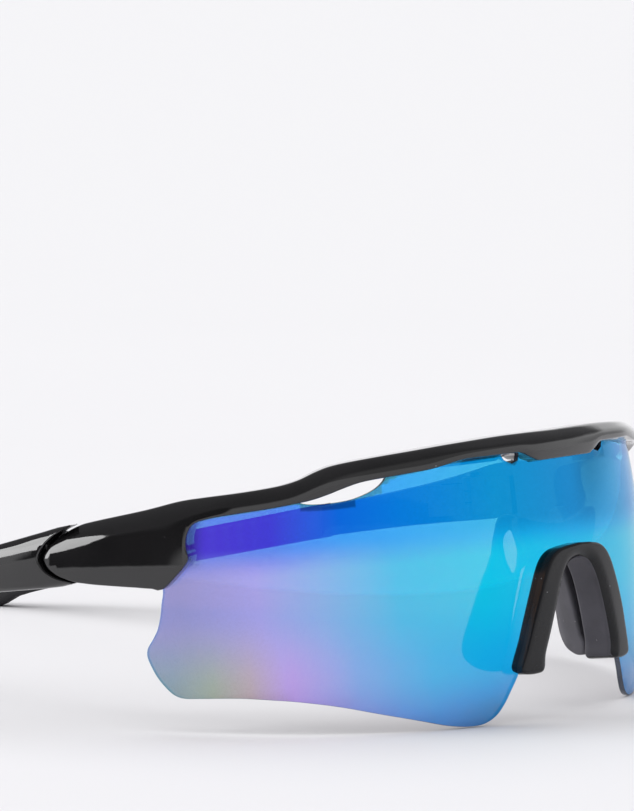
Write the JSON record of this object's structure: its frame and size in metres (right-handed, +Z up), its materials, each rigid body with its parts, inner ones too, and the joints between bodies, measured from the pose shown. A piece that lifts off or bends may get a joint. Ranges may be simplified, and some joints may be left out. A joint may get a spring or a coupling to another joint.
{
  "type": "wraparound sport sunglasses",
  "caption": "Wraparound shield sunglasses: mirrored one-piece lens under a brow frame, snap-in nose bracket with rubber pads, and folding temples with rubber ear socks.",
  "frame": {"origin": "on the surface the glasses stand on, under the middle of their box", "axes": "+X towards the wearer's left temple, +Y from the lens towards the ear tips, +Z up; the glasses lean 6 degrees, as they do when put down"},
  "size_m": [0.1456, 0.1922, 0.0519],
  "materials": {
    "frame_gloss": "polished black injection-moulded nylon",
    "lens_mirror": "polycarbonate with a blue-to-violet mirror coating, partly see-through",
    "nose_rubber": "matte dark grey rubber",
    "sock_rubber": "matte black rubber",
    "hinge_steel": "satin nickel-plated steel"
  },
  "bodies": {
    "front": {"brow_frame": "frame_gloss", "shield_lens": "lens_mirror", "nose_bracket": "frame_gloss", "nose_pad_right": "nose_rubber", "nose_pad_left": "nose_rubber", "hinge_leaf_front_right": "hinge_steel", "hinge_leaf_front_left": "hinge_steel", "hinge_screw_right": "hinge_steel", "hinge_screw_left": "hinge_steel"},
    "arm_right": {"temple_right": "frame_gloss", "ear_sock_right": "sock_rubber", "hinge_leaf_temple_right": "hinge_steel"},
    "arm_left": {"temple_left": "frame_gloss", "ear_sock_left": "sock_rubber", "hinge_leaf_temple_left": "hinge_steel"}
  },
  "joints": [
    {"name": "fold_right", "type": "hinge", "parent": "front", "child": "arm_right", "pos_m": [-0.0645, -0.02719, 0.02983], "axis": [0, -0.1045, -0.9945], "range_deg": [0, 84]},
    {"name": "fold_left", "type": "hinge", "parent": "front", "child": "arm_left", "pos_m": [0.0645, -0.02719, 0.02983], "axis": [0, 0.1045, 0.9945], "range_deg": [0, 98]}
  ]
}
